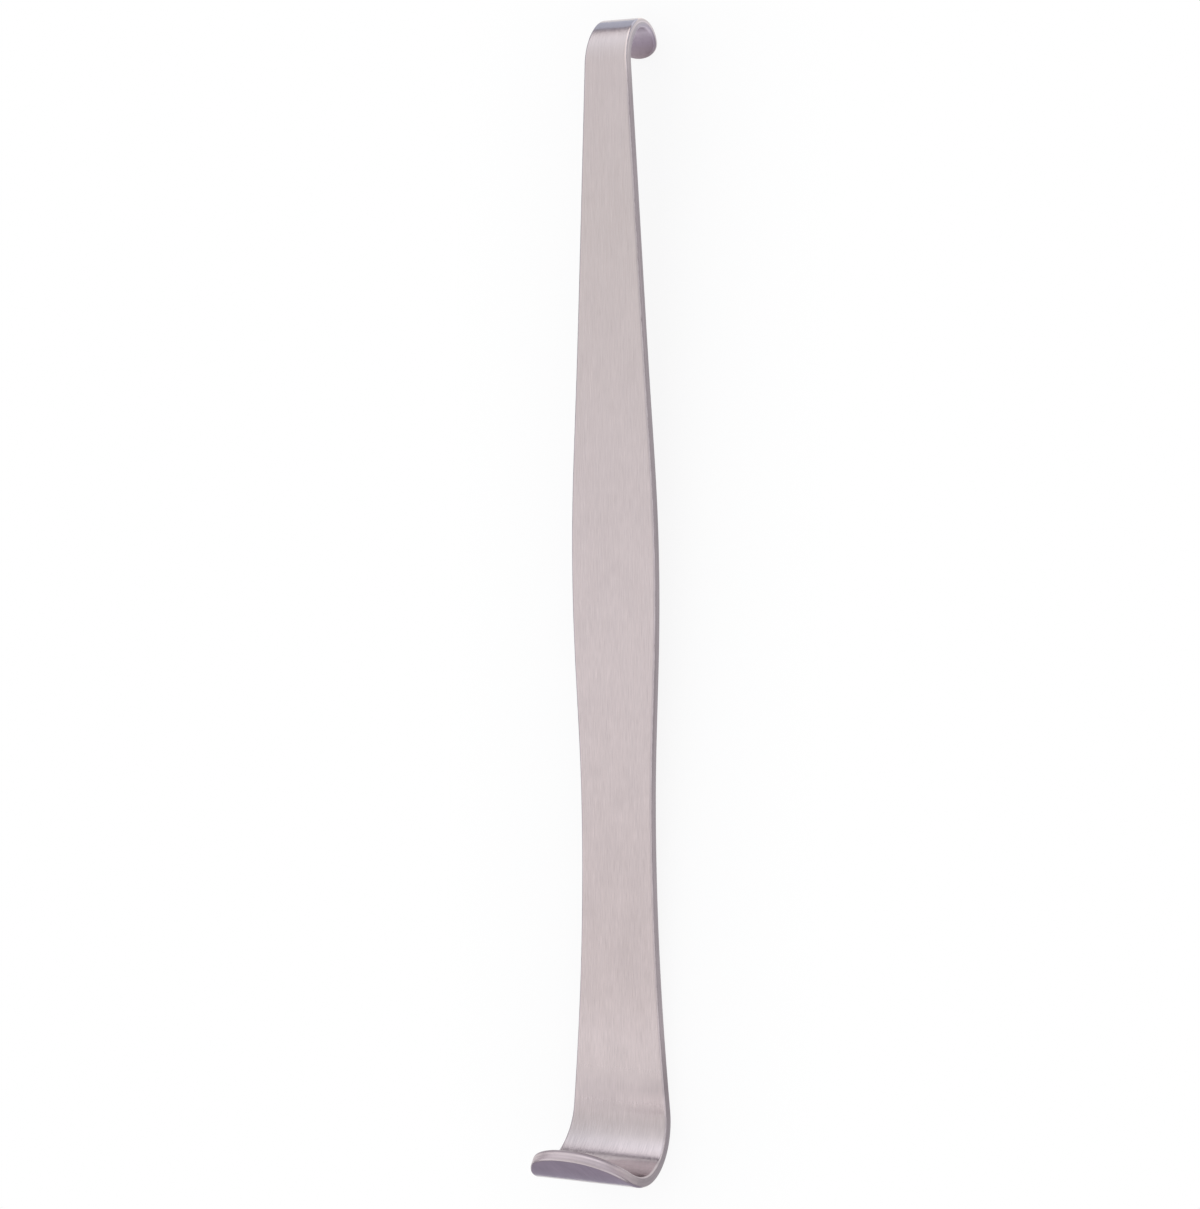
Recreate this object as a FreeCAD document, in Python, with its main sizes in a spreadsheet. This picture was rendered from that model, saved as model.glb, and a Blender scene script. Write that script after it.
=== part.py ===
import FreeCAD, Part
import math
import os
import Sketcher

# Double-ended hand retractor, bent from one strip of stainless steel.
# The strip's own frame: +X runs along the shank to the narrow hook, +Z is the normal of the
# shank's front face, and the origin is the middle of that face.
# At the end the strip is laid on its back, the way it comes to rest on a table.
# All lengths are in millimetres and all angles in degrees.

SIZES = [
    ("shank_length", 171.7, "flat length between the hook bend and the lip bend"),
    ("strip_thickness", 1.8, "thickness of the strip"),
    ("edge_round", 0.3, "radius on the long edges, front and back"),
    ("trim_allowance", 1.0, "extra strip past each end, which the end's outline trims off"),
    ("hook_bend_radius", 8.3, "outer radius of the hook's first, gentle bend"),
    ("hook_bend_angle", 50.7, "turn of the hook's first bend"),
    ("hook_curl_radius", 5.5, "outer radius of the hook's tight curl"),
    ("hook_curl_angle", 125.6, "turn of the hook's curl"),
    ("hook_land", 0.9, "straight length at the hook's tip"),
    ("hook_tip_thickness", 1.05, "thickness at the tip, where the hook is ground thinner"),
    ("hook_width", 7.4, "width of the hook"),
    ("bulge_width", 15.9, "widest place of the shank, under the fingers"),
    ("bulge_station", 84.0, "distance of the bulge from the hook bend"),
    ("waist_width", 13.4, "narrowest place between the bulge and the lip"),
    ("waist_station", 44.7, "distance of the waist from the lip bend"),
    ("flare_width", 16.2, "width that the flare heads for, near the lip bend"),
    ("lip_root_width", 17.9, "width just past the start of the lip bend"),
    ("lip_width", 20.0, "width of the broad lip"),
    ("lip_bend_radius", 8.9, "inner radius of the lip's first bend"),
    ("lip_bend_angle", 78.2, "turn of the lip's first bend"),
    ("lip_curl_radius", 6.2, "inner radius of the lip's second bend"),
    ("lip_curl_angle", 48.8, "turn of the lip's second bend"),
    ("lip_land", 6.3, "straight length at the lip's tip"),
    ("lip_nose", 9.5, "length of the rounded nose of the lip"),
    ("lip_fullness", 0.6, "how full the nose's corners are, 0.55 for an ellipse"),
]

# Places of the long edge's control points, as shares of the way between its stations.
TAPER_SHARE = 0.715
BULGE_LEAD = 0.905
BULGE_TRAIL = 0.19
WAIST_LEAD = 0.72
WAIST_TRAIL = 0.27
FLARE_SHARE = 0.8
ROOT_SHARE = 0.26
LIP_LEAD = 0.8
LIP_END_SHARE = 0.96
SHARP_DEGREES = 30.0
LEAST_TRIM = 1.0  # cubic millimetres that any trim has to take away

# Formulas shared by the sketches, in the sheet's own names.
HALF_SHANK = "sizes.shank_length / 2"
HOOK_STEP = "(sizes.hook_bend_radius - sizes.hook_curl_radius)"
HOOK_CENTRE_X = f"({HALF_SHANK} + {HOOK_STEP} * sin(sizes.hook_bend_angle))"
HOOK_CREST_X = f"({HOOK_CENTRE_X} + sizes.hook_curl_radius)"
HOOK_TURN = "(sizes.hook_bend_angle + sizes.hook_curl_angle)"
HOOK_TIP_X = (
    f"({HOOK_CENTRE_X} + sizes.hook_curl_radius * sin({HOOK_TURN})"
    f" + sizes.hook_land * cos({HOOK_TURN}))"
)
HOOK_CENTRE_Z = f"({HOOK_STEP} * cos(sizes.hook_bend_angle) - sizes.hook_bend_radius)"
HOOK_TIP_Z = (
    f"({HOOK_CENTRE_Z} + sizes.hook_curl_radius * cos({HOOK_TURN})"
    f" - sizes.hook_land * sin({HOOK_TURN}))"
)
LIP_STEP = "(sizes.lip_bend_radius - sizes.lip_curl_radius)"
LIP_TURN = "(sizes.lip_bend_angle + sizes.lip_curl_angle)"
LIP_CENTRE_X = f"(-{HALF_SHANK} - {LIP_STEP} * sin(sizes.lip_bend_angle))"
LIP_CENTRE_Z = f"(sizes.lip_bend_radius - {LIP_STEP} * cos(sizes.lip_bend_angle))"
LIP_REACH = f"(-{LIP_CENTRE_X} + sizes.lip_curl_radius - {HALF_SHANK})"
BLANK_SIDE = "(sizes.lip_width / 2 + sizes.trim_allowance)"

doc = FreeCAD.newDocument("retractor")
sheet = doc.addObject("Spreadsheet::Sheet", "sizes")
for row, (alias, value, note) in enumerate(SIZES, start=1):
    sheet.set(f"A{row}", alias)
    sheet.set(f"B{row}", str(value))
    sheet.set(f"C{row}", note)
    sheet.setAlias(f"B{row}", alias)
doc.recompute()


def size(name):
    return float(getattr(sheet, name))


def at(x, y):
    return FreeCAD.Vector(x, y, 0)


def polar(centre, radius, degrees):
    angle = math.radians(degrees)
    return centre + at(radius * math.cos(angle), radius * math.sin(angle))


def addSketch(body, name, role):
    sketch = body.newObject("Sketcher::SketchObject", name)
    plane = next(item for item in body.Origin.OriginFeatures if item.Role == role)
    sketch.AttachmentSupport = [(plane, "")]
    sketch.MapMode = "FlatFace"
    return sketch


def line(sketch, start, end):
    return sketch.addGeometry(Part.LineSegment(start, end))


def arc(sketch, centre, radius, low, high):
    circle = Part.Circle(centre, FreeCAD.Vector(0, 0, 1), radius)
    return sketch.addGeometry(Part.ArcOfCircle(circle, math.radians(low), math.radians(high)))


def join(sketch, kind, pairs):
    for first, firstEnd, second, secondEnd in pairs:
        sketch.addConstraint(Sketcher.Constraint(kind, first, firstEnd, second, secondEnd))


def bind(sketch, name, formula, kind, *places):
    """Adds one dimension, at its present value, and ties it to the sheet's formula."""
    value = sketch.evalExpression(formula)
    if kind == "Angle":
        value = math.radians(value)
    index = sketch.addConstraint(Sketcher.Constraint(kind, *places, float(value)))
    sketch.renameConstraint(index, name)
    sketch.setExpression(f"Constraints.{name}", formula)


def drawProfile(body):
    """Side view of the bent strip: front face, lip, back face, hook, all as tangent arcs."""
    sketch = addSketch(body, "side_profile", "XZ_Plane")
    half = size("shank_length") / 2
    thick = size("strip_thickness")
    spare = size("trim_allowance")

    lipBend = size("lip_bend_radius")
    lipCurl = size("lip_curl_radius")
    lipFirst = -90 - size("lip_bend_angle")
    lipLast = lipFirst - size("lip_curl_angle")
    lipCentre = at(-half, lipBend)
    curlCentre = polar(lipCentre, lipBend - lipCurl, lipFirst)
    lipEnd = polar(curlCentre, lipCurl, lipLast)
    lipTip = polar(lipEnd, size("lip_land") + spare, lipLast - 90)
    lipBackTip = polar(lipTip, thick, lipLast)
    lipBackEnd = polar(curlCentre, lipCurl + thick, lipLast)

    hookBend = size("hook_bend_radius")
    hookCurl = size("hook_curl_radius")
    hookFirst = 90 - size("hook_bend_angle")
    hookLast = hookFirst - size("hook_curl_angle")
    hookCentre = at(half, -hookBend)
    tightCentre = polar(hookCentre, hookBend - hookCurl, hookFirst)
    hookEnd = polar(tightCentre, hookCurl, hookLast)
    hookTip = polar(hookEnd, size("hook_land") + spare, hookLast - 90)
    hookInnerTip = polar(hookTip, -size("hook_tip_thickness"), hookLast)
    turn = math.radians(size("hook_curl_angle"))
    innerStart = hookCurl - thick
    innerLast = hookCurl - size("hook_tip_thickness")
    innerCurl = (innerLast - innerStart * math.cos(turn)) / (1 - math.cos(turn))
    innerCentre = polar(hookCentre, hookBend - thick - innerCurl, hookFirst)
    innerEnd = polar(innerCentre, innerCurl, hookLast)

    front = line(sketch, at(-half, 0), at(half, 0))
    lipArc = arc(sketch, lipCentre, lipBend, lipFirst, -90)
    curlArc = arc(sketch, curlCentre, lipCurl, lipLast, lipFirst)
    lipFlat = line(sketch, lipEnd, lipTip)
    lipCap = line(sketch, lipTip, lipBackTip)
    lipBack = line(sketch, lipBackTip, lipBackEnd)
    curlBack = arc(sketch, curlCentre, lipCurl + thick, lipLast, lipFirst)
    bendBack = arc(sketch, lipCentre, lipBend + thick, lipFirst, -90)
    back = line(sketch, at(-half, -thick), at(half, -thick))
    hookInner = arc(sketch, hookCentre, hookBend - thick, hookFirst, 90)
    tightInner = arc(sketch, innerCentre, innerCurl, hookLast, hookFirst)
    hookInnerFlat = line(sketch, innerEnd, hookInnerTip)
    hookCap = line(sketch, hookInnerTip, hookTip)
    hookFlat = line(sketch, hookTip, hookEnd)
    tightArc = arc(sketch, tightCentre, hookCurl, hookLast, hookFirst)
    hookArc = arc(sketch, hookCentre, hookBend, hookFirst, 90)

    join(sketch, "Tangent", [
        (front, 1, lipArc, 2),
        (lipArc, 1, curlArc, 2),
        (curlArc, 1, lipFlat, 1),
        (lipBack, 2, curlBack, 1),
        (curlBack, 2, bendBack, 1),
        (bendBack, 2, back, 1),
        (back, 2, hookInner, 2),
        (hookInner, 1, tightInner, 2),
        (tightInner, 1, hookInnerFlat, 1),
        (hookFlat, 2, tightArc, 1),
        (tightArc, 2, hookArc, 1),
        (hookArc, 2, front, 2),
    ])
    join(sketch, "Coincident", [
        (lipFlat, 2, lipCap, 1),
        (lipCap, 2, lipBack, 1),
        (hookInnerFlat, 2, hookCap, 1),
        (hookCap, 2, hookFlat, 1),
        (curlBack, 3, curlArc, 3),
        (bendBack, 3, lipArc, 3),
        (hookInner, 3, hookArc, 3),
    ])
    sketch.addConstraint(Sketcher.Constraint("Horizontal", front))
    sketch.addConstraint(Sketcher.Constraint("Symmetric", front, 1, front, 2, -1, 1))
    sketch.addConstraint(Sketcher.Constraint("Horizontal", back))
    sketch.addConstraint(Sketcher.Constraint("Perpendicular", lipFlat, lipCap))
    sketch.addConstraint(Sketcher.Constraint("Parallel", lipFlat, lipBack))
    sketch.addConstraint(Sketcher.Constraint("Perpendicular", hookFlat, hookCap))
    sketch.addConstraint(Sketcher.Constraint("Parallel", hookFlat, hookInnerFlat))

    bind(sketch, "shank_length", "sizes.shank_length", "Distance", front)
    bind(sketch, "lip_bend_radius", "sizes.lip_bend_radius", "Radius", lipArc)
    bind(sketch, "lip_bend_angle", "sizes.lip_bend_angle", "Angle", lipArc)
    bind(sketch, "lip_curl_radius", "sizes.lip_curl_radius", "Radius", curlArc)
    bind(sketch, "lip_curl_angle", "sizes.lip_curl_angle", "Angle", curlArc)
    bind(sketch, "lip_land", "sizes.lip_land + sizes.trim_allowance", "Distance", lipFlat)
    bind(sketch, "strip_thickness", "sizes.strip_thickness", "Distance", lipCap)
    bind(sketch, "hook_bend_radius", "sizes.hook_bend_radius", "Radius", hookArc)
    bind(sketch, "hook_bend_angle", "sizes.hook_bend_angle", "Angle", hookArc)
    bind(sketch, "inner_bend_angle", "sizes.hook_bend_angle", "Angle", hookInner)
    bind(sketch, "hook_curl_radius", "sizes.hook_curl_radius", "Radius", tightArc)
    bind(sketch, "hook_curl_angle", "sizes.hook_curl_angle", "Angle", tightArc)
    bind(sketch, "hook_land", "sizes.hook_land + sizes.trim_allowance", "Distance", hookFlat)
    bind(sketch, "hook_tip_thickness", "sizes.hook_tip_thickness", "Distance", hookCap)
    return sketch


def placed(sketch, formulas):
    """The present point of an x and a y formula."""
    return at(*(float(sketch.evalExpression(formula)) for formula in formulas))


def addCurve(sketch, name, degree, places):
    """A spline whose control points are each tied to the sheet by an x and a y formula."""
    poles = [placed(sketch, formulas) for formulas in places]
    inner = len(poles) - degree - 1
    knots = [float(index) for index in range(inner + 2)]
    multiplicities = [degree + 1] + [1] * inner + [degree + 1]
    spline = Part.BSplineCurve()
    spline.buildFromPolesMultsKnots(poles, multiplicities, knots, False, degree)
    curve = sketch.addGeometry(spline)
    sketch.exposeInternalGeometry(curve)
    circles = range(curve + 1, curve + 1 + len(poles))
    for index, (x, y) in enumerate(places):
        bind(sketch, f"{name}_x{index}", x, "DistanceX", -1, 1, circles[index], 3)
        bind(sketch, f"{name}_y{index}", y, "DistanceY", -1, 1, circles[index], 3)
    return curve


def addFrame(sketch, name, first, last, corners):
    """Straight lines from the curve's last point round the waste and back to its first."""
    points = [placed(sketch, formulas) for formulas in corners]
    ends = [sketch.getPoint(*last)] + points + [sketch.getPoint(*first)]
    sides = [line(sketch, start, end) for start, end in zip(ends, ends[1:])]
    join(sketch, "Coincident", [(*last, sides[0], 1), (sides[-1], 2, *first)])
    join(sketch, "Coincident", [(left, 2, right, 1) for left, right in zip(sides, sides[1:])])
    for index, (x, y) in enumerate(corners):
        bind(sketch, f"{name}_x{index}", x, "DistanceX", -1, 1, sides[index], 2)
        bind(sketch, f"{name}_y{index}", y, "DistanceY", -1, 1, sides[index], 2)


def drawSideWaste(body):
    """Plan view of what is trimmed off one long side: hook, taper, bulge, waist and flare."""
    sketch = addSketch(body, "side_waste", "XY_Plane")
    sketch.setExpression("AttachmentOffset.Base.z", LIP_CENTRE_Z)
    bulge = f"({HALF_SHANK} - sizes.bulge_station)"
    waist = f"(-{HALF_SHANK} + sizes.waist_station)"
    fingers = f"({bulge} - {waist})"
    hookStart = f"({HOOK_CREST_X} - sizes.strip_thickness)"
    taper = f"({HALF_SHANK} - sizes.bulge_station * {TAPER_SHARE})"
    bulgeStart = f"({HALF_SHANK} - sizes.bulge_station * {BULGE_LEAD})"
    taperWidth = (
        "(sizes.hook_width / 2 + (sizes.bulge_width - sizes.hook_width) / 2"
        f" * ({hookStart} - {taper}) / ({hookStart} - {bulgeStart}))"
    )
    places = [
        (hookStart, "sizes.hook_width / 2"),
        (f"{hookStart} - sizes.strip_thickness", "sizes.hook_width / 2"),
        (taper, taperWidth),
        (bulgeStart, "sizes.bulge_width / 2"),
        (f"{bulge} - {fingers} * {BULGE_TRAIL}", "sizes.bulge_width / 2"),
        (f"{bulge} - {fingers} * {WAIST_LEAD}", "sizes.waist_width / 2"),
        (f"{waist} - sizes.waist_station * {WAIST_TRAIL}", "sizes.waist_width / 2"),
        (f"{waist} - sizes.waist_station * {FLARE_SHARE}", "sizes.flare_width / 2"),
        (f"-{HALF_SHANK} - {LIP_REACH} * {ROOT_SHARE}", "sizes.lip_root_width / 2"),
        (f"-{HALF_SHANK} - {LIP_REACH} * {LIP_LEAD}", "sizes.lip_width / 2"),
        (f"-{HALF_SHANK} - {LIP_REACH} * {LIP_END_SHARE}", "sizes.lip_width / 2"),
    ]
    edge = addCurve(sketch, "edge", 2, places)
    addFrame(sketch, "waste", (edge, 1), (edge, 2), [
        (f"-{HALF_SHANK} - {LIP_REACH} * {LIP_END_SHARE}", BLANK_SIDE),
        (f"{HOOK_CREST_X} + sizes.trim_allowance", BLANK_SIDE),
        (f"{HOOK_CREST_X} + sizes.trim_allowance", "sizes.hook_width / 2"),
    ])
    return sketch


def drawHookWaste(body):
    """Plan view of what is trimmed round the hook's tip, which leaves a round tongue."""
    sketch = addSketch(body, "hook_waste", "XY_Plane")
    sketch.setExpression("AttachmentOffset.Base.z", HOOK_CENTRE_Z)
    noseX = f"({HOOK_TIP_X} + sizes.hook_width / 2)"
    nose = arc(sketch, placed(sketch, (noseX, "0")), size("hook_width") / 2, 90, 270)
    sketch.addConstraint(Sketcher.Constraint("PointOnObject", nose, 3, -1))
    sketch.addConstraint(Sketcher.Constraint("Vertical", nose, 3, nose, 1))
    sketch.addConstraint(Sketcher.Constraint("Vertical", nose, 3, nose, 2))
    bind(sketch, "nose_radius", "sizes.hook_width / 2", "Radius", nose)
    bind(sketch, "nose_centre", noseX, "DistanceX", -1, 1, nose, 3)
    outer = f"({HOOK_CREST_X} + sizes.trim_allowance)"
    inner = f"({HOOK_TIP_X} - 2 * sizes.trim_allowance)"
    addFrame(sketch, "waste", (nose, 1), (nose, 2), [
        (outer, "-sizes.hook_width / 2"),
        (outer, f"-{BLANK_SIDE}"),
        (inner, f"-{BLANK_SIDE}"),
        (inner, BLANK_SIDE),
        (outer, BLANK_SIDE),
        (outer, "sizes.hook_width / 2"),
    ])
    return sketch


def drawLipWaste(body):
    """What is trimmed round the lip's nose, drawn square to the straight end of the lip."""
    sketch = addSketch(body, "lip_waste", "XY_Plane")
    turn = size("lip_bend_angle") + size("lip_curl_angle")
    square = FreeCAD.Rotation(FreeCAD.Vector(0, -1, 0), 180 - turn)
    sketch.AttachmentOffset = FreeCAD.Placement(FreeCAD.Vector(0, 0, 0), square)
    curlEndX = f"{LIP_CENTRE_X} - sizes.lip_curl_radius * sin({LIP_TURN})"
    curlEndZ = f"{LIP_CENTRE_Z} - sizes.lip_curl_radius * cos({LIP_TURN})"
    sketch.setExpression("AttachmentOffset.Base.x", curlEndX)
    sketch.setExpression("AttachmentOffset.Base.z", curlEndZ)
    sketch.setExpression("AttachmentOffset.Rotation.Angle", f"180 - {LIP_TURN}")
    root = "(sizes.lip_land - sizes.lip_nose)"
    side = "sizes.lip_width / 2"
    shoulder = f"{root} + sizes.lip_nose * sizes.lip_fullness"
    upper = addCurve(sketch, "upper", 3, [
        (root, side),
        (shoulder, side),
        ("sizes.lip_land", f"{side} * sizes.lip_fullness"),
        ("sizes.lip_land", "0"),
    ])
    lower = addCurve(sketch, "lower", 3, [
        ("sizes.lip_land", "0"),
        ("sizes.lip_land", f"-{side} * sizes.lip_fullness"),
        (shoulder, f"-{side}"),
        (root, f"-{side}"),
    ])
    outer = "(sizes.lip_land + 2 * sizes.trim_allowance)"
    addFrame(sketch, "waste", (upper, 1), (lower, 2), [
        (root, f"-{BLANK_SIDE}"),
        (outer, f"-{BLANK_SIDE}"),
        (outer, BLANK_SIDE),
        (root, BLANK_SIDE),
    ])
    return sketch


def addPocket(body, name, sketch, formula, symmetric=False):
    before = body.Shape.Volume
    pocket = body.newObject("PartDesign::Pocket", name)
    pocket.Profile = (sketch, [""])
    pocket.SideType = "Symmetric" if symmetric else "One side"
    pocket.setExpression("Length", formula)
    doc.recompute()
    if pocket.Shape.Volume > before - LEAST_TRIM:
        raise RuntimeError(f"{name} removes nothing")
    return pocket


def sharpEdges(shape):
    """Names of the edges where two faces meet at a clear corner."""
    names = []
    for index, edge in enumerate(shape.Edges, start=1):
        middle = edge.valueAt((edge.FirstParameter + edge.LastParameter) / 2)
        faces = shape.ancestorsOfType(edge, Part.Face)
        if len(faces) != 2:
            continue
        normals = [face.normalAt(*face.Surface.parameter(middle)) for face in faces]
        if math.degrees(normals[0].getAngle(normals[1])) > SHARP_DEGREES:
            names.append(f"Edge{index}")
    return names


def layOnBack(body):
    """Tilts the strip until hook tip and lip bend both touch the table, centred on it."""
    shape = body.Shape
    heel = FreeCAD.Vector(-size("shank_length") / 2, 0, size("lip_bend_radius"))
    heelRadius = size("lip_bend_radius") + size("strip_thickness")
    turn = math.radians(size("hook_bend_angle") + size("hook_curl_angle"))
    tip = FreeCAD.Vector(
        float(body.evalExpression(HOOK_TIP_X)),
        0,
        float(body.evalExpression(HOOK_TIP_Z)),
    )
    roundRadius = size("edge_round")
    tip += roundRadius * FreeCAD.Vector(-math.cos(turn), 0, math.sin(turn))
    tip -= roundRadius * FreeCAD.Vector(math.sin(turn), 0, math.cos(turn))
    reach = tip - heel
    lean = math.acos((heelRadius - roundRadius) / reach.Length)
    tilt = math.degrees(math.atan2(-reach.z, reach.x) - (math.pi / 2 - lean))
    body.Placement = FreeCAD.Placement(
        FreeCAD.Vector(0, 0, 0), FreeCAD.Rotation(FreeCAD.Vector(0, -1, 0), tilt)
    )
    box = body.Shape.optimalBoundingBox(False, False)
    body.Placement = FreeCAD.Placement(
        FreeCAD.Vector(-(box.XMin + box.XMax) / 2, 0, -box.ZMin), body.Placement.Rotation
    )
    return tilt


retractor = doc.addObject("PartDesign::Body", "retractor")
retractor.Label = "retractor"

strip = retractor.newObject("PartDesign::Pad", "strip")
strip.Profile = (drawProfile(retractor), [""])
strip.SideType = "Symmetric"
strip.setExpression("Length", "sizes.lip_width")
doc.recompute()

side = addPocket(
    retractor, "side_trim", drawSideWaste(retractor), f"{LIP_CENTRE_Z} - {HOOK_CENTRE_Z}"
)
otherSide = retractor.newObject("PartDesign::Mirrored", "other_side")
otherSide.Originals = [side]
otherSide.MirrorPlane = (
    next(item for item in retractor.Origin.OriginFeatures if item.Role == "XZ_Plane"), [""]
)
retractor.Tip = otherSide
doc.recompute()

addPocket(retractor, "hook_trim", drawHookWaste(retractor), "2 * sizes.hook_bend_radius")
lipTrim = addPocket(
    retractor, "lip_trim", drawLipWaste(retractor), "2 * sizes.lip_curl_radius", symmetric=True
)

rounding = retractor.newObject("PartDesign::Fillet", "edge_rounding")
rounding.Base = (lipTrim, sharpEdges(lipTrim.Shape))
rounding.setExpression("Radius", "sizes.edge_round")
retractor.Tip = rounding
doc.recompute()

tilt = layOnBack(retractor)
doc.recompute()

for item in doc.Objects:
    if "Invalid" in item.State or "Error" in item.State:
        raise RuntimeError(f"{item.Label} did not build: {item.State}")

shape = retractor.Shape
if shape.isNull() or not shape.isValid() or len(shape.Solids) != 1:
    raise RuntimeError("the retractor is not one sound solid")
box = shape.optimalBoundingBox(False, False)
print(f"volume {shape.Volume:.1f} mm3, tilt {tilt:.3f} degrees")
print(f"x {box.XMin:.3f} {box.XMax:.3f}, y {box.YMin:.3f} {box.YMax:.3f}")
print(f"z {box.ZMin:.3f} {box.ZMax:.3f}")
os.makedirs("parts", exist_ok=True)
shape.exportStep("parts/retractor.step")
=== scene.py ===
import bpy
import math
from mathutils import Matrix, Vector


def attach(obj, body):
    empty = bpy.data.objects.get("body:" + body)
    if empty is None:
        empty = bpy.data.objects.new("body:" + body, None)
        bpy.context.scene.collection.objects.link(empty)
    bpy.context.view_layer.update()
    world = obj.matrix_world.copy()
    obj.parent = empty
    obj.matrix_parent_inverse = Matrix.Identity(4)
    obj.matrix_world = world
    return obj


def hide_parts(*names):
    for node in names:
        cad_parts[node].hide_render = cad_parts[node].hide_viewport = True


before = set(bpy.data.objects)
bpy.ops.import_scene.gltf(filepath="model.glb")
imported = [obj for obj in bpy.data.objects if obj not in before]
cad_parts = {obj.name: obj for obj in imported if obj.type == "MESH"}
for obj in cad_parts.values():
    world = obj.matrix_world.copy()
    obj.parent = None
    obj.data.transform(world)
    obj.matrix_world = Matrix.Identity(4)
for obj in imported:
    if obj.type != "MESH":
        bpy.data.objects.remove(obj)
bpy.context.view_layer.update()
print("frame loaded")


def mm(*lengths):
    scaled = [length / 1000 for length in lengths]
    return scaled[0] if len(scaled) == 1 else Vector(scaled)


class Wire:
    # one socket of a node tree; arithmetic on it adds Math nodes

    def __init__(self, graph, socket):
        self.graph = graph
        self.socket = socket

    def math(self, operation, *others):
        sockets = dict(enumerate([self, *others]))
        return self.graph.add("ShaderNodeMath", {"operation": operation}, sockets)

    def __add__(self, other):
        return self.math("ADD", other)

    def __sub__(self, other):
        return self.math("SUBTRACT", other)

    def __mul__(self, other):
        return self.math("MULTIPLY", other)

    def __truediv__(self, other):
        return self.math("DIVIDE", other)

    def __rsub__(self, other):
        return self * -1 + other

    def __neg__(self):
        return self * -1

    __radd__ = __add__
    __rmul__ = __mul__

    def clamped(self, low=0.0, high=1.0):
        sockets = {"Value": self, "Min": low, "Max": high}
        return self.graph.add("ShaderNodeClamp", {}, sockets)


class Graph:
    # puts nodes into one tree

    def __init__(self, tree):
        self.tree = tree
        tree.nodes.clear()

    def add(self, kind, settings, sockets, output=0):
        node = self.tree.nodes.new(kind)
        for name, value in settings.items():
            if name == "stops":
                self.fillRamp(node.color_ramp, value)
            else:
                setattr(node, name, value)
        for name, value in sockets.items():
            for source in value if isinstance(value, list) else [value]:
                if isinstance(source, Wire):
                    self.tree.links.new(source.socket, node.inputs[name])
                else:
                    node.inputs[name].default_value = source
        if not node.outputs:
            return node
        return Wire(self, node.outputs[output])

    def fillRamp(self, ramp, stops):
        while len(ramp.elements) < len(stops):
            ramp.elements.new(1.0)
        for element, (position, colour) in zip(ramp.elements, stops):
            element.position = position
            element.color = (*colour, 1.0)

    def xyz(self, x=0.0, y=0.0, z=0.0):
        return self.add("ShaderNodeCombineXYZ", {}, {"X": x, "Y": y, "Z": z})

    def split(self, vector):
        wire = self.add("ShaderNodeSeparateXYZ", {}, {"Vector": vector})
        return [Wire(self, socket) for socket in wire.socket.node.outputs]

    def mapped(self, value, fromLow, fromHigh, toLow, toHigh):
        sockets = {
            "Value": value,
            "From Min": fromLow,
            "From Max": fromHigh,
            "To Min": toLow,
            "To Max": toHigh,
        }
        return self.add("ShaderNodeMapRange", {}, sockets)

    def rise(self, value, start, full):
        return self.mapped(value, start, full, 0.0, 1.0)

    def between(self, value, start, full, *falling):
        # 1 from full on, or else until falling, the two places between which it goes back to 0
        rising = self.rise(value, start, full)
        return rising * self.mapped(value, *falling, 1.0, 0.0) if falling else rising

    def ramp(self, stops, share):
        return self.add("ShaderNodeValToRGB", {"stops": stops}, {"Fac": share})

    def toned(self, colour, tone, mask):
        settings = {"data_type": "RGBA", "blend_type": "MULTIPLY"}
        sockets = {"Factor": mask, "A": colour, "B": tone}
        return self.add("ShaderNodeMix", settings, sockets, "Result")


# how the strip comes to rest on its back, from its own frame to the table's
rest = {
    "tilt": 3.3744779,  # degrees, hook end up
    "shift": (1.5412851, 0.0, 6.8687089),  # mm
}
restTurn = Matrix.Rotation(math.radians(-rest["tilt"]), 4, "Y")
restPlace = Matrix.Translation(mm(*rest["shift"])) @ restTurn

# camera, in the strip's own frame: X along the shank to the hook, Z out of its front face
lookout = {
    "place": (28.22, -293.52, 499.83),  # mm
    "aim": (-2.45, 0.0, 0.0),  # mm
    "roll": -0.778,  # degrees
    "lens": 105.30,  # mm on a 36 mm sensor along the picture's long side
    "shift": -0.01013,
    "nearest": 10.0,  # mm, what is closer isn't drawn
}


def makeCamera():
    data = bpy.data.cameras.new("lookout")
    data.lens = lookout["lens"]
    data.shift_x = lookout["shift"]
    data.clip_start = mm(lookout["nearest"])
    camera = bpy.data.objects.new("lookout", data)
    bpy.context.scene.collection.objects.link(camera)
    eye = restPlace @ mm(*lookout["place"])
    forward = (restPlace @ mm(*lookout["aim"]) - eye).normalized()
    level = forward.cross(restPlace.to_3x3() @ Vector((1, 0, 0))).normalized()
    upright = level.cross(forward)
    roll = math.radians(lookout["roll"])
    right = level * math.cos(roll) + upright * math.sin(roll)
    up = upright * math.cos(roll) - level * math.sin(roll)
    turn = Matrix((right, up, -forward)).transposed().to_4x4()
    camera.matrix_world = Matrix.Translation(eye) @ turn
    bpy.context.scene.camera = camera


makeCamera()
print("camera placed")

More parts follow.
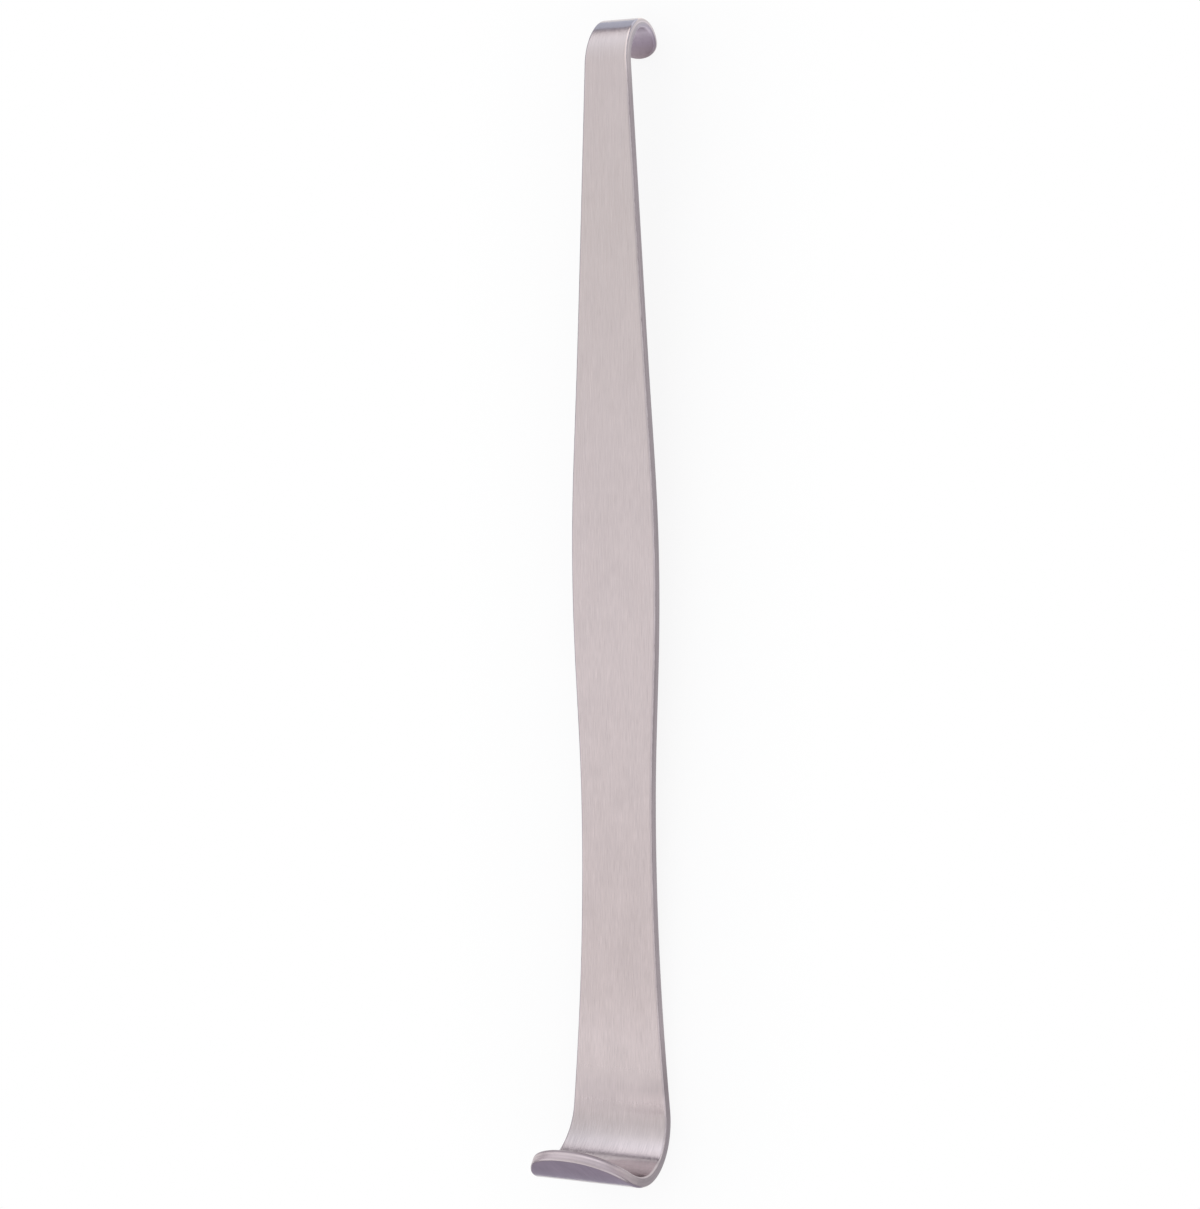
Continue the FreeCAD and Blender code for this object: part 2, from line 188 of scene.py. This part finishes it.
# brushed stainless steel: the grain runs along the strip, the sides are only ground, and the inside
# of the hook, where no wheel reaches, is duller still. Places are in mm along the flat strip, the
# hook at + and the lip at -, and a tone is what the colour is multiplied by; many of the tones
# below are painted light and shade
steel = {
    "dark": (0.53, 0.472, 0.479),
    "light": (0.655, 0.58, 0.587),
    "roughness": 0.1,
    "sideRoughness": 0.28,  # more than on the faces
    "hookRoughness": 0.34,  # more inside the hook
    "lipRoughness": 0.25,  # more at the foot of the lip, where the wheel turned
    "lipFoot": -82.0,
    "lipFootReach": 9.0,  # mm to both sides
    "grains": {  # mm across and along the strip, levels of detail, seed
        "hair": (0.1, 2.6, 2.0, 3.0),  # the finest brush lines
        "groove": (0.1, 12.0, 2.0, 5.0),  # the relief of the brushing, as fine but longer
        "streak": (0.28, 10.0, 2.0, 11.0),
        "cloud": (5.0, 8.0, 3.0, 31.0),
        "rim": (0.5, 40.0, 1.0, 43.0),  # the lines left round the sides
    },
    "grooveDepth": 0.024,  # mm
    "weights": {  # how far each grain moves the colour from dark to light
        "hair": 1.2,
        "hairTowardsLip": 1.1,
        "streak": 0.6,
        "rim": 3.2,
        "cloud": 0.4,
        "cloudTowardsLip": 0.5,
        "cloudOnBack": 1.2,
    },
    "glossChange": {"groove": 0.06, "cloud": 0.04},
    "rampLength": 240.0,  # mm of strip that the ramps of tones span
    # front tone: slight changes from the brushing, with painted reflection and shade round the
    # lip's bend
    "faceTones": [
        (-103.0, (0.84, 0.84, 0.86)),
        (-98.0, (0.93, 0.93, 0.94)),
        (-95.4, (0.96, 0.96, 0.98)),
        (-94.9, (0.8, 0.79, 0.81)),
        (-94.5, (0.78, 0.77, 0.79)),
        (-94.1, (1.0, 1.0, 1.02)),
        (-93.6, (1.0, 1.01, 1.03)),
        (-93.0, (0.95, 0.96, 0.98)),
        (-90.0, (0.9, 0.905, 0.91)),
        (-87.0, (0.945, 0.94, 0.94)),
        (-84.5, (1.02, 1.01, 1.01)),
        (-80.0, (1.07, 1.06, 1.05)),
        (-74.5, (1.1, 1.09, 1.085)),
        (-68.0, (1.03, 1.015, 1.005)),
        (-60.0, (1.0, 0.985, 0.975)),
        (-17.0, (1.035, 1.03, 1.03)),
        (20.0, (1.0, 1.0, 1.0)),
        (60.0, (0.98, 0.985, 0.97)),
        (86.0, (1.0, 1.0, 1.0)),
    ],
    # painted shade on the ground sides, least at the lip's nose and the hook's end
    "sideTones": [
        (-108.0, (1.02, 1.0, 1.02)),
        (-105.5, (1.03, 1.0, 1.02)),
        (-103.5, (0.82, 0.8, 0.82)),
        (-100.5, (0.54, 0.53, 0.56)),
        (-92.0, (0.52, 0.51, 0.55)),
        (-80.0, (0.575, 0.56, 0.59)),
        (-71.0, (0.62, 0.605, 0.635)),
        (-60.0, (0.57, 0.56, 0.59)),
        (80.0, (0.57, 0.56, 0.59)),
        (95.0, (0.95, 0.97, 0.97)),
    ],
    # and the back, which is the lip's outside and the hook's inside: painted bluish reflections on
    # the lip's outside and high in the hook, and painted shade towards the hook's tip
    "backTones": [
        (-107.0, (0.97, 0.96, 0.97)),
        (-105.0, (1.0, 1.0, 1.0)),
        (-103.5, (1.07, 1.1, 1.09)),
        (-102.0, (1.16, 1.22, 1.18)),
        (-100.5, (1.25, 1.32, 1.27)),
        (-99.0, (1.3, 1.38, 1.33)),
        (-96.0, (1.0, 1.0, 1.0)),
        (86.0, (1.0, 1.0, 1.0)),
        (97.0, (1.05, 1.08, 1.2)),
        (100.5, (1.0, 0.99, 1.13)),
        (103.0, (0.63, 0.59, 0.71)),
        (106.0, (0.62, 0.58, 0.62)),
    ],
    # spans over which a part of the strip begins: round the edge from 0 on the faces to 1 on the
    # side, and the others in mm, across it for the left half and else along it
    "side": (0.8, 0.97),
    "left": (0.0, 1.0),
    "hook": (80.0, 87.0),
    "inHook": (86.0, 91.0),
    "towardsLip": (60.0, -80.0),
    "nose": (-103.0, -106.0),
    "noseTip": (-104.5, -107.0),
    "ridgeHighlightLoss": 0.6,  # share of the painted ridge highlight that goes at the tip of the nose
    # painted highlights and shade, as lines and patches, each with the spans over which it comes
    # and,
    # with four numbers, goes again: round the edge, through the strip from 0 on its front to 1 on
    # its back, and along and across
    "marks": {
        "wornLine": {  # painted highlight down one side of the hook
            "tone": (1.5, 1.47, 1.4),
            "round": (0.1, 0.35, 0.65, 0.9),
        },
        "dullLine": {  # painted shade, a dark line down the other side
            "tone": (0.7, 0.69, 0.72),
            "round": (0.1, 0.35, 0.75, 0.95),
        },
        "noseLine": {  # painted shade inside the lip's nose
            "tone": (0.68, 0.66, 0.69),
            "round": (0.1, 0.35),
            "through": (0.16, 0.02),
        },
        "ridge": {  # painted highlight, a bright line round the nose's side
            "tone": (1.2, 1.2, 1.19),
            "through": (0.05, 0.2, 0.4, 0.5),
        },
        "under": {  # and painted shade on the part below that
            "tone": (0.93, 0.92, 0.93),
            "through": (0.5, 0.62),
        },
        "glint": {  # painted highlight, a short bright streak on the nose's right side
            "tone": (1.28, 1.27, 1.28),
            "through": (0.1, 0.2, 0.3, 0.42),
            "across": (-1.5, -3.8, -5.6, -7.0),
        },
        "foot": {  # painted light on the right side where the lip's bend starts
            "tone": (1.16, 1.155, 1.15),
            "along": (-82.5, -84.3, -85.4, -86.8),
            "across": (0.5, -5.5),
        },
        "shine": {  # and where it mirrors the light
            "tone": (1.2, 1.19, 1.19),
            "along": (-88.3, -91.0, -93.2, -94.0),
            "across": (6.0, -8.5),
        },
    },
}


def grain(graph, place, name):
    across, along, detail, seed = steel["grains"][name]
    scale = (1000 / along, 1000 / across, 1000 / across)
    stretched = graph.add("ShaderNodeVectorMath", {"operation": "MULTIPLY"}, {0: place, 1: scale})
    moved = graph.add("ShaderNodeVectorMath", {"operation": "ADD"}, {0: stretched, 1: (seed,) * 3})
    sockets = {"Vector": moved, "Scale": 1.0, "Detail": detail, "Roughness": 0.6}
    return graph.add("ShaderNodeTexNoise", {}, sockets)


def makeSteel():
    material = bpy.data.materials.new("brushedSteel")
    material.use_nodes = True
    graph = Graph(material.node_tree)
    place = graph.add("ShaderNodeAttribute", {"attribute_name": "flat"}, {}, "Vector")
    zone = graph.add("ShaderNodeAttribute", {"attribute_name": "zone"}, {}, "Vector")
    along, across, depth = graph.split(place)
    roundEdge, toBack, _ = graph.split(zone)
    hair, groove, streak, cloud = (
        grain(graph, place, name) for name in ("hair", "groove", "streak", "cloud")
    )
    rim = grain(graph, graph.xyz(along, 0.0, depth), "rim")
    side = graph.rise(roundEdge, *steel["side"])
    left = graph.rise(across, *mm(*steel["left"]))
    parts = ("hook", "inHook", "towardsLip", "nose", "noseTip")
    hook, inHook, towardsLip, nose, noseTip = (
        graph.rise(along, *mm(*steel[name])) for name in parts
    )

    weights = steel["weights"]
    lines = (hair - 0.5) * (weights["hair"] + towardsLip * weights["hairTowardsLip"])
    lines = lines + (streak - 0.5) * weights["streak"] + (rim - 0.5) * side * weights["rim"]
    patches = weights["cloud"] + towardsLip * weights["cloudTowardsLip"]
    patches = patches + toBack * weights["cloudOnBack"]
    colour = graph.add("ShaderNodeMix", {"data_type": "RGBA"}, {
        "Factor": (0.5 + lines + (cloud - 0.5) * patches).clamped(),
        "A": (*steel["dark"], 1.0),
        "B": (*steel["light"], 1.0),
    }, "Result")

    onFront = 1.0 - toBack
    front = onFront * (1.0 - side)
    behind = toBack * (1.0 - side * towardsLip)
    share = along / mm(steel["rampLength"]) + 0.5
    # the ramps multiply the colour: brushing tone with painted reflection and shade on the front,
    # painted shade on the sides, painted light and shade on the back
    for name, mask in {"faceTones": front, "sideTones": side, "backTones": behind}.items():
        stops = [(0.5 + spot / steel["rampLength"], tone) for spot, tone in steel[name]]
        colour = graph.toned(colour, graph.ramp(stops, share), mask)

    measures = {
        "round": (roundEdge, 1.0),
        "through": (toBack, 1.0),
        "along": (along, mm(1.0)),
        "across": (across, mm(1.0)),
    }
    # where the painted highlights and shade lines lie
    masks = {
        "wornLine": onFront * (1.0 - left) * hook,
        "dullLine": onFront * left * (1.0 - nose),
        "noseLine": noseTip,
        "ridge": side * (nose - noseTip * steel["ridgeHighlightLoss"]),
        "under": side * nose,
        "glint": side,
        "foot": front,
        "shine": front,
    }
    for name, mask in masks.items():
        for key, value in steel["marks"][name].items():
            if key != "tone":
                measure, unit = measures[key]
                mask = mask * graph.between(measure, *[number * unit for number in value])
        colour = graph.toned(colour, (*steel["marks"][name]["tone"], 1.0), mask)

    fromFoot = ((along - mm(steel["lipFoot"])) / mm(steel["lipFootReach"])).math("ABSOLUTE")
    gloss = steel["roughness"] + (groove - 0.5) * steel["glossChange"]["groove"]
    gloss = gloss + (cloud - 0.5) * steel["glossChange"]["cloud"] + side * steel["sideRoughness"]
    gloss = gloss + inHook * toBack * steel["hookRoughness"]
    gloss = gloss + (1.0 - fromFoot).clamped() * steel["lipRoughness"]
    bump = graph.add("ShaderNodeBump", {}, {
        "Strength": 1.0,
        "Distance": mm(steel["grooveDepth"]),
        "Height": groove,
    })
    shader = graph.add("ShaderNodeBsdfPrincipled", {}, {
        "Base Color": colour,
        "Metallic": 1.0,
        "Roughness": gloss,
        "Normal": bump,
    })
    graph.add("ShaderNodeOutputMaterial", {}, {"Surface": shader})
    return material


# the strip, flat at first and then bent, all in mm and degrees
strip = {
    "Half Shank": 85.86,
    "Thickness": 1.837,
    "Hook Thin Start": 92.42,
    "Hook Tip": 106.12,
    "Hook Tip Thickness": 1.036,
    "Lip Thick Start": -99.69,
    "Lip Tip": -109.52,
    "Lip Tip Thickness": 1.97,
    "Edge Radius": 0.42,
    "Edge Support": 0.08,
    "Bow": 0.284,
    "Hook Bend Radius": 8.265,
    "Hook Bend Angle": 50.70,
    "Hook Curl Radius": 5.504,
    "Hook Curl Angle": 125.62,
    "Lip Bend Radius": 8.864,
    "Lip Bend Angle": 78.16,
    "Lip Curl Radius": 6.171,
    "Lip Curl Angle": 48.79,
    "Stations": 640,
    "Face Cuts": 8,
    "Round Cuts": 6,
    "Weld": 0.001,
}

# control points of one long side from the lip's tip to the hook's: place along the flat strip and
# half the width there, in mm
sideLine = [
    (-109.52, 0.0), (-109.52, 0.9), (-109.4, 2.84), (-108.08, 5.9), (-105.71, 8.28),
    (-100.8, 10.51), (-90.62, 9.18), (-68.61, 7.42), (-49.47, 6.69), (-28.92, 6.68),
    (-9.23, 7.91), (11.13, 8.05), (30.73, 6.77), (51.46, 5.71), (70.1, 4.81),
    (93.14, 3.64), (102.64, 3.51), (105.1, 3.23), (106.12, 1.37), (106.12, 0.0),
]


def makeSideLine():
    curve = bpy.data.curves.new("sideLine", "CURVE")
    curve.dimensions = "3D"
    curve.resolution_u = 48
    spline = curve.splines.new("NURBS")
    spline.points.add(len(sideLine) - 1)
    for point, (along, half) in zip(spline.points, sideLine):
        point.co = (*mm(along, half, 0.0), 1.0)
    spline.order_u = 4
    spline.use_endpoint_u = True
    line = bpy.data.objects.new("sideLine", curve)
    bpy.context.scene.collection.objects.link(line)
    return line


def bend(graph, place, along, start, radius, angle, side):
    # turns what lies past start about an axis across the strip; side is 1 for the hook and -1 for
    # the lip
    reach = (along * side - start).math("MINIMUM", radius * angle).math("MAXIMUM", 0.0)
    pulled = graph.add("ShaderNodeVectorMath", {"operation": "ADD"}, {
        0: place,
        1: graph.xyz(reach * -side),
    })
    return graph.add("ShaderNodeVectorRotate", {"rotation_type": "Y_AXIS"}, {
        "Vector": pulled,
        "Center": graph.xyz(start * side, 0.0, radius * -side),
        "Angle": reach / radius,
    })


endShare = 0.00001  # share of the side line that counts as its very end


def makeBentStrip():
    tree = bpy.data.node_groups.new("bentStrip", "GeometryNodeTree")
    graph = Graph(tree)
    tree.interface.new_socket("Geometry", in_out="OUTPUT", socket_type="NodeSocketGeometry")
    for name, value in strip.items():
        kind = "NodeSocketInt" if isinstance(value, int) else "NodeSocketFloat"
        tree.interface.new_socket(name, in_out="INPUT", socket_type=kind)
    tree.interface.new_socket("Side Line", in_out="INPUT", socket_type="NodeSocketObject")
    tree.interface.new_socket("Finish", in_out="INPUT", socket_type="NodeSocketMaterial")
    source = tree.nodes.new("NodeGroupInput")
    given = {socket.name: Wire(graph, socket) for socket in source.outputs if socket.name}

    # a grid with one column for each station and one row for each ring from the middle of the
    # front face, round the edge, to the middle of the back
    faceCuts, roundCuts = given["Face Cuts"], given["Round Cuts"]
    rings = (faceCuts + roundCuts + 2.0) * 2.0
    grid = graph.add("GeometryNodeMeshGrid", {}, {
        "Size X": 1.0,
        "Size Y": 1.0,
        "Vertices X": given["Stations"],
        "Vertices Y": rings,
    })
    cell = graph.split(graph.add("GeometryNodeInputPosition", {}, {}))
    share = cell[0] + 0.5
    ring = ((cell[1] + 0.5) * (rings - 1.0)).math("ROUND")
    fromFace = ring.math("MINIMUM", rings - 1.0 - ring)
    onBack = ring.math("GREATER_THAN", fromFace + 0.5)
    faceShare = (fromFace / faceCuts).clamped()
    turn = ((fromFace - faceCuts - 1.0) / roundCuts).clamped() * (math.pi / 2)
    support = given["Edge Support"] * fromFace.math("LESS_THAN", faceCuts + 0.5)
    inset = given["Edge Radius"] * (1.0 - turn.math("SINE")) + support
    sunk = given["Edge Radius"] * (1.0 - turn.math("COSINE"))

    # the flat strip: each ring is the side line moved inwards
    outline = graph.add("GeometryNodeObjectInfo", {}, {"Object": given["Side Line"]}, "Geometry")
    sample = graph.add("GeometryNodeSampleCurve", {"mode": "FACTOR"}, {
        "Curves": outline,
        "Factor": share,
    }, "Position")
    edge = graph.split(sample)
    heading = graph.split(Wire(graph, sample.socket.node.outputs["Tangent"]))
    between = share.math("GREATER_THAN", endShare) * share.math("LESS_THAN", 1 - endShare)
    along = edge[0] + inset * heading[1]
    half = (edge[1] - inset * heading[0]) * between  # exactly 0 at both ends
    thinned = graph.mapped(
        along,
        given["Hook Thin Start"],
        given["Hook Tip"],
        given["Thickness"],
        given["Hook Tip Thickness"],
    )
    thickened = graph.mapped(along, given["Lip Thick Start"], given["Lip Tip"], 0.0, 1.0)
    thickness = thinned + thickened * (given["Lip Tip Thickness"] - given["Thickness"])
    depth = sunk + onBack * (thickness - sunk * 2.0)
    flatPlace = graph.xyz(along, half * faceShare, -depth)
    halfPlate = graph.add("GeometryNodeStoreNamedAttribute", {"data_type": "FLOAT_VECTOR"}, {
        "Geometry": grid,
        "Name": "zone",
        "Value": graph.xyz(turn.math("SINE"), onBack),
    })
    halfPlate = graph.add("GeometryNodeSetPosition", {}, {
        "Geometry": halfPlate,
        "Position": flatPlace,
    })
    mirrored = graph.add("GeometryNodeTransform", {}, {
        "Geometry": halfPlate,
        "Scale": (1.0, -1.0, 1.0),
    })
    otherHalf = graph.add("GeometryNodeFlipFaces", {}, {"Mesh": mirrored})
    plate = graph.add("GeometryNodeJoinGeometry", {}, {"Geometry": [halfPlate, otherHalf]})
    plate = graph.add("GeometryNodeMergeByDistance", {}, {
        "Geometry": plate,
        "Distance": given["Weld"],
    })
    flat = graph.add("GeometryNodeInputPosition", {}, {})
    plate = graph.add("GeometryNodeStoreNamedAttribute", {"data_type": "FLOAT_VECTOR"}, {
        "Geometry": plate,
        "Name": "flat",
        "Value": flat,
    })

    # the outer bend first, so that the inner one carries it round
    flatAlong = graph.split(flat)[0]
    lift = (1.0 - (flatAlong / given["Half Shank"]).math("POWER", 2.0)).clamped() * -given["Bow"]
    place = graph.add("ShaderNodeVectorMath", {"operation": "ADD"}, {0: flat, 1: graph.xyz(z=lift)})
    for end, side in (("Hook", 1), ("Lip", -1)):
        radius, angle = given[f"{end} Bend Radius"], given[f"{end} Bend Angle"]
        curlStart = given["Half Shank"] + radius * angle
        curl = given[f"{end} Curl Radius"], given[f"{end} Curl Angle"]
        place = bend(graph, place, flatAlong, curlStart, *curl, side)
        place = bend(graph, place, flatAlong, given["Half Shank"], radius, angle, side)
    bent = graph.add("GeometryNodeSetPosition", {}, {"Geometry": plate, "Position": place})
    laid = graph.add("GeometryNodeTransform", {}, {
        "Geometry": bent,
        "Translation": restPlace.to_translation(),
        "Rotation": restPlace.to_euler(),
    })
    smooth = graph.add("GeometryNodeSetShadeSmooth", {}, {"Geometry": laid, "Shade Smooth": True})
    whole = graph.add("GeometryNodeRealizeInstances", {}, {"Geometry": smooth})
    finished = graph.add("GeometryNodeSetMaterial", {}, {
        "Geometry": whole,
        "Material": given["Finish"],
    })
    graph.add("NodeGroupOutput", {}, {"Geometry": finished})
    return tree


def baked(tree, inputs, name):
    # runs the tree on an empty piece and keeps the result as a plain mesh
    piece = bpy.data.objects.new(name, bpy.data.meshes.new(name))
    bpy.context.scene.collection.objects.link(piece)
    modifier = piece.modifiers.new(tree.name, "NODES")
    modifier.node_group = tree
    for item in tree.interface.items_tree:
        if item.in_out == "INPUT":
            modifier[item.identifier] = inputs[item.name]
    shaped = piece.evaluated_get(bpy.context.evaluated_depsgraph_get())
    mesh = bpy.data.meshes.new_from_object(shaped)
    piece.modifiers.remove(modifier)
    while mesh.materials[0] is None:  # an empty slot comes before the finish
        mesh.materials.pop(index=0)
    piece.data = mesh
    return piece


def stripInput(name, value):
    if isinstance(value, int):
        return value
    return math.radians(value) if "Angle" in name else mm(value)


finish = makeSteel()
line = makeSideLine()
inputs = {name: stripInput(name, value) for name, value in strip.items()}
inputs.update({"Side Line": line, "Finish": finish})
retractor = baked(makeBentStrip(), inputs, "retractor_strip")
bpy.data.objects.remove(line)
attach(retractor, "root")
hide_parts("retractor")
print("strip bent:", len(retractor.data.polygons), "faces")

# pale table top, lit from all round, that fades to plain white away from the strip
table = {
    "radius": 40.0,  # metres
    "height": -0.04,  # mm
    "colour": (0.93, 0.93, 0.94),
    "halfLine": 85.0,  # mm, half the length of the line that the fade is measured from
    "fadeStart": 4.0,
    "fadeEnd": 36.0,
    "nearWhite": 0.85,  # share of plain white that the camera and the steel see there
}


def addStage(name, corners, faces, material):
    mesh = bpy.data.meshes.new(name)
    mesh.from_pydata(corners, [], faces)
    mesh.materials.append(material)
    piece = bpy.data.objects.new(name, mesh)
    bpy.context.scene.collection.objects.link(piece)
    return piece


def makeTable():
    material = bpy.data.materials.new("paleTable")
    material.use_nodes = True
    graph = Graph(material.node_tree)
    path = graph.add("ShaderNodeLightPath", {}, {}).socket.node.outputs
    seen = Wire(graph, path["Is Camera Ray"]) + Wire(graph, path["Is Glossy Ray"])
    seen = (seen + Wire(graph, path["Is Transmission Ray"])).clamped()
    matt = graph.add("ShaderNodeBsdfDiffuse", {}, {"Color": (*table["colour"], 1.0)})
    white = graph.add("ShaderNodeEmission", {}, {"Color": (1.0, 1.0, 1.0, 1.0), "Strength": 1.0})
    place = graph.split(graph.add("ShaderNodeTexCoord", {}, {}, "Object"))
    past = (place[0].math("ABSOLUTE") - mm(table["halfLine"])).math("MAXIMUM", 0.0)
    away = (past * past + place[1] * place[1]).math("SQRT")
    fade = graph.mapped(away, mm(table["fadeStart"]), mm(table["fadeEnd"]), table["nearWhite"], 1.0)
    mixed = graph.add("ShaderNodeMixShader", {}, {0: seen * fade, 1: matt, 2: white})
    graph.add("ShaderNodeOutputMaterial", {}, {"Surface": mixed})
    size = table["radius"]
    height = mm(table["height"])
    flat = [(-size, -size), (size, -size), (size, size), (-size, size)]
    corners = [(x, y, height) for x, y in flat]
    addStage("tableTop", corners, [(0, 1, 2, 3)], material)


makeTable()
print("table laid")

cardHeight = 0.3  # mm above the table, so that the two don't mix

# cards that lie on the table outside the picture, where only the steel sees them, in mm; they glow
# with their own colour as painted reflections of a darker surround, bluish past the hook
cards = {
    "hookCard": {"x": (103, 300), "y": (-98, 98), "colour": (0.60, 0.66, 0.78)},
    "lipCard": {"x": (-215, -103), "y": (-98, 98), "colour": (0.37, 0.34, 0.43)},
    "farHookCard": {"x": (300, 1500), "y": (-98, 98), "colour": (0.30, 0.27, 0.31)},
    "farLipCard": {"x": (-1500, -215), "y": (-98, 98), "colour": (0.30, 0.27, 0.31)},
    "leftCard": {"x": (-1500, 1500), "y": (98, 1500), "colour": (0.30, 0.27, 0.31)},
    "rightCard": {"x": (-1500, 1500), "y": (-1500, -98), "colour": (0.30, 0.27, 0.31)},
}


def makeCards():
    for name, card in cards.items():
        material = bpy.data.materials.new(name)
        material.use_nodes = True
        graph = Graph(material.node_tree)
        tone = graph.add("ShaderNodeEmission", {}, {
            "Color": (*card["colour"], 1.0),
            "Strength": 1.0,
        })
        graph.add("ShaderNodeOutputMaterial", {}, {"Surface": tone})
        (left, right), (near, far) = card["x"], card["y"]
        flat = [(left, near), (right, near), (right, far), (left, far)]
        piece = addStage(name, [mm(x, y, cardHeight) for x, y in flat], [(0, 1, 2, 3)], material)
        piece.visible_camera = False
        piece.visible_diffuse = False
        piece.visible_transmission = False
        piece.visible_shadow = False


makeCards()
print("cards set out")

# the room's light by height above the horizon, 1 straight up, with a slight change along the strip
# and less of it from the camera's side
room = {
    "heights": [
        (0.0, (0.25, 0.22, 0.25)),
        (0.05, (0.3, 0.28, 0.31)),
        (0.11, (0.86, 0.85, 0.88)),
        (0.17, (1.03, 1.02, 1.04)),
        (0.23, (1.11, 1.11, 1.13)),
        (0.32, (1.16, 1.18, 1.21)),
        (0.45, (1.15, 1.18, 1.22)),
        (0.6, (1.07, 1.09, 1.11)),
        (0.75, (0.99, 1.0, 1.01)),
        (0.82, (0.96, 0.955, 0.955)),
        (1.0, (0.98, 0.98, 0.98)),
    ],
    "lengthways": [
        (-0.26, (0.94, 0.93, 0.93)),
        (-0.2, (0.99, 0.98, 0.98)),
        (-0.14, (1.1, 1.085, 1.09)),
        (-0.08, (1.03, 1.02, 1.02)),
        (0.02, (0.97, 0.965, 0.96)),
        (0.3, (1.0, 1.0, 1.0)),
    ],
    "sideways": [
        (-1.0, (0.78, 0.78, 0.8)),
        (-0.2, (0.84, 0.84, 0.86)),
        (0.35, (1.0, 1.0, 1.0)),
        (0.8, (1.0, 1.0, 1.0)),
        (1.0, (0.92, 0.92, 0.94)),
    ],
}


def makeRoom():
    world = bpy.data.worlds.new("studio")
    bpy.context.scene.world = world
    world.use_nodes = True
    graph = Graph(world.node_tree)
    direction = graph.split(graph.add("ShaderNodeTexCoord", {}, {}, "Generated"))
    tone = graph.ramp(room["heights"], direction[2])
    for name, lean in (("lengthways", direction[0]), ("sideways", direction[1])):
        stops = [((place + 1) / 2, colour) for place, colour in room[name]]
        tone = graph.toned(tone, graph.ramp(stops, lean * 0.5 + 0.5), 1.0)
    light = graph.add("ShaderNodeBackground", {}, {"Color": tone, "Strength": 1.0})
    graph.add("ShaderNodeOutputWorld", {}, {"Surface": light})


makeRoom()
bpy.context.scene.view_settings.view_transform = "Standard"
print("room lit")
